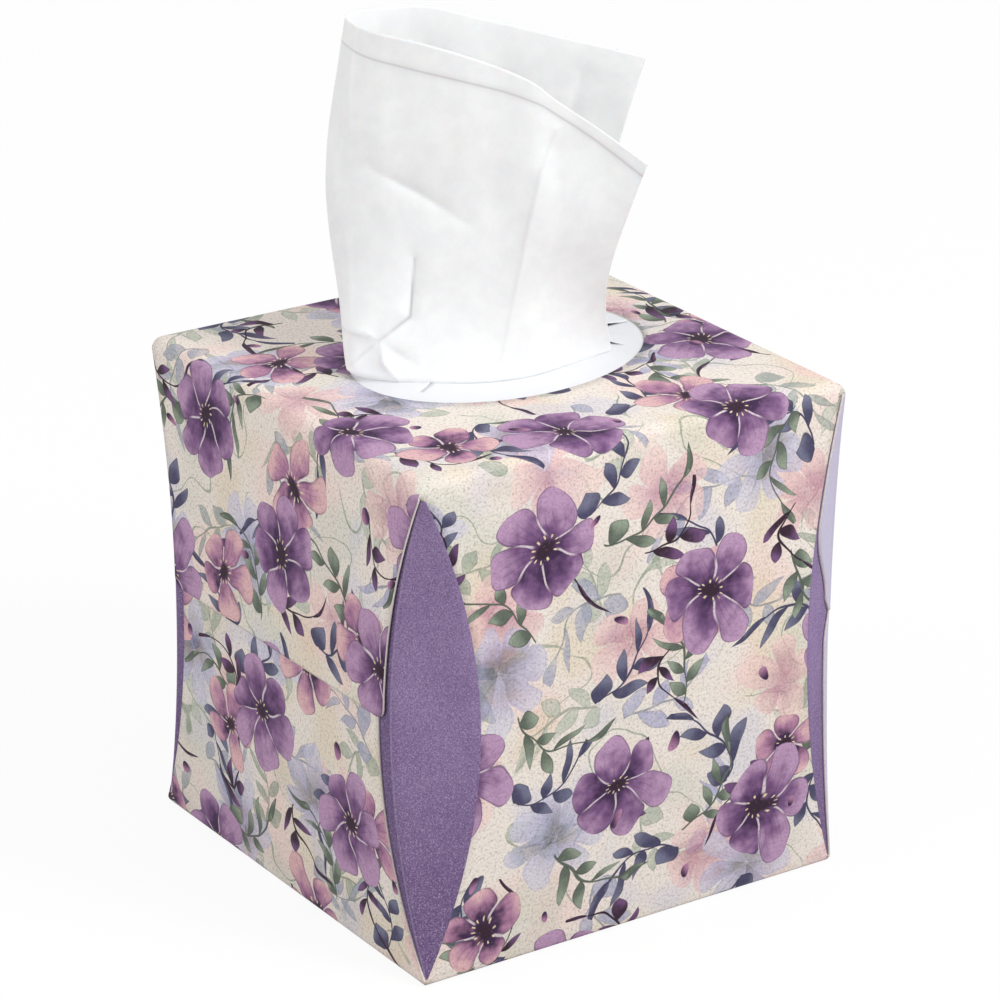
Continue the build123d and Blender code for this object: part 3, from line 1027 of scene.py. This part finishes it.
def make_print():
    graph = Graph("floral_print_on_card")
    place = graph.uv("Print")
    tone = graph.noise(place, 0.2, 3.0, 0.62)
    grain = graph.noise(place, 1.6, 2.0, 0.7)
    wash_a, wash_b, wash_c = graph.parts(graph.noise(place, 0.04, 1.0, 0.5, output="Color"))
    sway = graph.noise(place, 0.07, 1.0, 0.5, output="Color")
    swayed = graph.vector_math("MULTIPLY_ADD", sway, (9.0, 9.0, 0.0), place)

    colour = graph.mix(graph.smooth(0.52, 0.66, wash_a) * 0.6, CREAM, INK["pink_pale"])
    colour = graph.mix(graph.smooth(0.54, 0.68, wash_b) * 0.3, colour, INK["ochre"])
    colour = graph.mix(graph.smooth(0.52, 0.66, wash_c) * 0.35, colour, INK["sage_pale"])
    colour = graph.mix(graph.smooth(0.45, 0.34, wash_a) * 0.45, colour, INK["lavender_pale"])

    def wash(below, mask, ink, strength):
        """Ink laid on in uneven, see-through washes."""
        amount = mask * (graph.smooth(0.25, 0.6, tone) * (0.4 * strength) + 0.6 * strength)
        return graph.mix(amount, below, ink)

    def sprigs(layers, bend):
        for cell, turn, seed, reach, spacing, leaf, breadth, ink, other, share in layers:
            cells = Scatter(graph, swayed, cell, turn, seed, 0.12)
            sprig = Sprig(graph, cells, reach, spacing, leaf, breadth, bend)
            yield sprig, INK[ink], INK[other], cells.luck, cells.shown(share)

    def flowers(layers, jitter):
        for cell, turn, seed, count, reach, breadth, inks, share in layers:
            cells = Scatter(graph, swayed, cell, turn, seed, jitter)
            flower = Blossom(graph, cells, count, reach, breadth)
            yield flower, [INK[ink] for ink in inks], cells.shown(share)

    # Fine stems that wander over parts of the card
    contour = graph.noise(swayed, 0.036, 1.0, 0.4)
    line = graph.smooth(0.0045, 0.002, abs(contour - 0.5))
    colour = wash(colour, line * graph.smooth(0.44, 0.5, wash_c), INK["sage"], 0.9)

    # Sprigs behind the flowers
    for sprig, ink, other, luck, shown in sprigs(PALE_SPRIGS, 3.0):
        leaf_ink = graph.mix(luck, ink, other)
        leaf_ink = graph.mix(graph.smooth(0.5, 0.15, sprig.edge) * 0.5, leaf_ink, INK["green"])
        mask = graph.math("MAXIMUM", sprig.leaves, sprig.stem) * shown
        colour = wash(colour, mask, leaf_ink, 0.85)

    # Pale flowers
    for flower, (inner, middle, outer), shown in flowers(PALE_FLOWERS, 0.25):
        shade = flower.colour(tone, inner, middle, outer, middle)
        colour = wash(colour, flower.mask * shown, shade, 0.75)

    # Dark leaves in front of them
    for sprig, ink, other, _, shown in sprigs(DARK_SPRIGS, 4.0):
        leaf_ink = graph.mix(graph.smooth(0.4, 0.9, tone * 0.7 + sprig.shade * 0.5), ink, other)
        leaf_ink = graph.mix(graph.smooth(0.45, 0.12, sprig.edge) * 0.6, leaf_ink, INK["umber"])
        colour = graph.mix(sprig.stem * shown, colour, ink)
        colour = graph.mix(sprig.leaves * shown, colour, leaf_ink)

    # Mauve and dark violet flowers
    for flower, (inner, middle, outer), shown in flowers(DARK_FLOWERS, 0.27):
        shade = flower.colour(tone, inner, middle, outer, INK["violet_deep"])
        shade = graph.mix(flower.streak * 0.8, shade, INK["petal_gap"])
        colour = graph.mix(flower.mask * shown, colour, shade)
        heart = graph.smooth(3.0, 1.6, flower.radius + tone)
        colour = graph.mix(heart * shown, colour, INK["umber"])
        ring = graph.smooth(0.6, 0.2, abs(flower.radius - 2.4))
        dots = graph.smooth(0.6, 0.9, graph.math("COSINE", flower.turn * 11.0)) * ring
        colour = graph.mix(dots * shown, colour, INK["straw"])

    # Buds
    cells = Scatter(graph, swayed, 23.0, 33, 36, 0.6)
    bud = graph.smooth(1.0, 0.85, graph.vector_math("LENGTH", graph.vector_math(
        "MULTIPLY", cells.local, (0.56, 0.84, 0.0)), output=1)) * cells.shown(0.35)
    bud_ink = graph.mix(graph.smooth(-1.2, 1.4, cells.x), INK["violet_deep"], INK["mauve"])
    colour = graph.mix(bud, colour, bud_ink)

    # Fibres and flecks of the recycled card
    flecks = Scatter(graph, place, 2.2, 18, 41, 0.7)
    reach = abs(flecks.x) * 0.25 + abs(flecks.y)
    fleck = graph.smooth(0.2, 0.08, reach) * flecks.shown(0.75)
    colour = graph.mix(fleck * 0.4, colour, linear(112, 94, 104))
    colour = graph.mix(graph.smooth(0.42, 0.7, grain) * 0.45, colour, linear(176, 166, 160), "MULTIPLY")
    normal = graph.bump(grain, 0.35, 0.00012)
    return graph.finish(colour, 0.72, normal, 0.25)


def make_lens_card():
    graph = Graph("plain_purple_card")
    place = graph.place()
    past_fold, _, _ = graph.parts(graph.uv("Print"))
    _, _, level = graph.parts(place)
    grain = graph.noise(place, 2900.0, 3.0, 0.75)
    cloud = graph.noise(place, 90.0, 3.0, 0.6)
    colour = graph.mix(graph.smooth(0.3, 0.7, cloud), linear(132, 109, 151), linear(142, 120, 160))
    # Painted shade: the lens card darkens towards the carton's base.
    colour = graph.mix(graph.smooth(0.075, 0.0, level) * 0.8, colour, linear(86, 64, 104))
    # Painted shade: darker past the fold, where the dust flap tucks under the end flaps.
    colour = graph.mix(graph.smooth(-0.4, 0.6, past_fold) * 0.6, colour, linear(84, 62, 102))
    fold = graph.smooth(0.45, 0.1, abs(past_fold))
    colour = graph.mix(fold * 0.5, colour, linear(166, 146, 182))
    colour = graph.mix(graph.smooth(0.48, 0.68, grain) * 0.7, colour, linear(180, 162, 194))
    colour = graph.mix(graph.smooth(0.5, 0.34, grain) * 0.6, colour, linear(92, 70, 112))
    return graph.finish(colour, 0.75, graph.bump(grain, 0.4, 0.00012), 0.2)


def make_plain_card(name, tint, speck):
    graph = Graph(name)
    grain = graph.noise(graph.place(), 1100.0, 4.0, 0.65)
    colour = graph.mix(graph.smooth(0.3, 0.75, grain) * 0.4, tint, speck)
    return graph.finish(colour, 0.9, graph.bump(grain, 0.5, 0.0002), 0.15)


def make_film_plastic():
    graph = Graph("satin_film")
    haze = graph.noise(graph.place(), 160.0, 3.0, 0.5)
    colour = graph.mix(haze, linear(222, 224, 228), linear(230, 231, 234))
    return graph.finish(colour, 0.38, graph.bump(haze, 0.15, 0.0004), 0.5)


def make_tissue(name, layers=0.0, painted_fold_shade=False):
    graph = Graph(name)
    place = graph.place()
    fibre = graph.noise(place, 1400.0, 4.0, 0.7)
    cloud = graph.noise(place, 220.0, 3.0, 0.6)
    colour = graph.mix(graph.smooth(0.3, 0.7, cloud), linear(238, 238, 239), linear(243, 243, 243))
    height = fibre * 0.5 + cloud * 0.4
    if layers:
        _, _, level = graph.parts(place)
        # Painted shade in the gaps between the stacked sheets: darker bands, which also go into the bump.
        band = graph.math("SINE", level * (2 * math.pi / layers) + cloud * 2.0)
        colour = graph.mix(graph.smooth(0.2, 1.0, band) * 0.25, colour, linear(214, 214, 218))
        height = height + band * 0.5
    if painted_fold_shade:
        shade, past_hem, _ = graph.parts(graph.uv("Print"))
        # Painted shadow: a thin darker line where the folded hem's edge casts shade.
        line = graph.smooth(0.4, 0.1, abs(past_hem))
        colour = graph.mix(line * 0.8, colour, linear(216, 216, 219))
        # Painted shade along the creases' lines, carried in the print map's u.
        colour = graph.mix(shade * 0.8, colour, linear(186, 186, 192))
    normal = graph.bump(height, 0.35, 0.00018)
    soft = {"Subsurface Weight": 0.12, "Subsurface Scale": 0.002}
    return graph.finish(colour, 0.95, normal, 0.1, soft)


# Studio, in metres, with its lens and sensor in millimetres

CAMERA_AZIMUTH = -33.73
CAMERA_ELEVATION = 21.99
CAMERA_DISTANCE = 1.032
CAMERA_LENS = 159.4
CAMERA_TARGET = Vector((1.15, -0.8, 85.6)) * MM
SENSOR = 36.0
LAMP_TARGET = Vector((0, 0, 0.09))


def aim(thing, target, azimuth, elevation, distance):
    """Puts a camera or lamp at a distance from its target, on the side that the two angles give."""
    turn, lift = math.radians(azimuth), math.radians(elevation)
    side = Vector((math.sin(turn) * math.cos(lift), -math.cos(turn) * math.cos(lift), math.sin(lift)))
    thing.location = target + side * distance
    thing.rotation_euler = (target - thing.location).to_track_quat("-Z", "Y").to_euler()


def make_camera():
    lens = bpy.data.cameras.new("camera")
    lens.lens = CAMERA_LENS
    lens.sensor_width = SENSOR
    camera = add_object("camera", lens)
    aim(camera, CAMERA_TARGET, CAMERA_AZIMUTH, CAMERA_ELEVATION, CAMERA_DISTANCE)
    bpy.context.scene.camera = camera


def make_lamp(name, azimuth, elevation, distance, size, power):
    light = bpy.data.lights.new(name, "AREA")
    light.shape = "DISK"
    light.size = size
    light.energy = power
    aim(add_object(name, light), LAMP_TARGET, azimuth, elevation, distance)


def seen_rays(graph):
    """1 for rays that see the background: from the camera, in gloss or through glass."""
    path = graph.node("ShaderNodeLightPath")
    seen = Term(graph, path.outputs["Is Camera Ray"])
    for name in ("Is Glossy Ray", "Is Transmission Ray"):
        seen = graph.math("MAXIMUM", seen, Term(graph, path.outputs[name]))
    return seen


FLOOR_REACH = 6.0
FLOOR_SHADOW = 0.22
FLOOR_GREY = 0.4
FLOOR_GLOW = 1.16


def make_floor():
    graph = Graph("studio_floor")
    plain = graph.made("ShaderNodeBsdfDiffuse", 0, {"Color": (FLOOR_GREY, FLOOR_GREY, FLOOR_GREY, 1.0)})
    white = graph.made("ShaderNodeEmission", 0, {"Strength": FLOOR_GLOW})
    seen = seen_rays(graph) * (1 - FLOOR_SHADOW)
    blend = graph.made("ShaderNodeMixShader", 0, {0: seen, 1: plain, 2: white})
    mesh = bpy.data.meshes.new("floor")
    reach = FLOOR_REACH
    mesh.from_pydata([(-reach, -reach, 0), (reach, -reach, 0), (reach, reach, 0), (-reach, reach, 0)],
                     [], [(0, 1, 2, 3)])
    mesh.materials.append(graph.end(blend))
    floor = add_object("floor", mesh)
    floor.location.z = cad_box[0][2]


AMBIENT = 0.7


def make_world():
    graph = Graph("studio", bpy.data.worlds.new("studio"))
    strength = seen_rays(graph) * (1 - AMBIENT) + AMBIENT
    sky = graph.made("ShaderNodeBackground", 0, {"Color": (1.0, 1.0, 1.0, 1.0), "Strength": strength})
    bpy.context.scene.world = graph.end(sky, "ShaderNodeOutputWorld")


def make_studio():
    make_camera()
    make_lamp("key", 25.0, 36.0, 1.6, 0.7, 15.5)
    make_lamp("fill", -95.0, 22.0, 1.8, 1.0, 9.5)
    make_floor()
    make_world()
    bpy.context.scene.view_settings.view_transform = "Standard"


# Pieces and their places

floral = make_print()
purple = make_lens_card()
margin = make_plain_card("pale_lavender_card", linear(198, 192, 212), linear(176, 168, 194))
inside = make_plain_card("bare_card_inside", linear(205, 199, 190), linear(190, 182, 172))
raw_edge = make_plain_card("cut_card_edge", linear(226, 219, 211), linear(190, 182, 172))
carton = make_carton([floral, purple, margin] + [inside] * SLOT_COUNT + [raw_edge] * SLOT_COUNT)
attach(carton, "root")
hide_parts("carton")

film = make_film(make_film_plastic())
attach(film, "root")
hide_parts("mouth_film")

sheet = make_sheet(make_tissue("soft_tissue", painted_fold_shade=True))
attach(sheet, "root")
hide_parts("popup_tissue")

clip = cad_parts["tissue_clip"]
clip.data.materials.clear()
clip.data.materials.append(make_tissue("stacked_tissue", layers=0.0016))

make_studio()
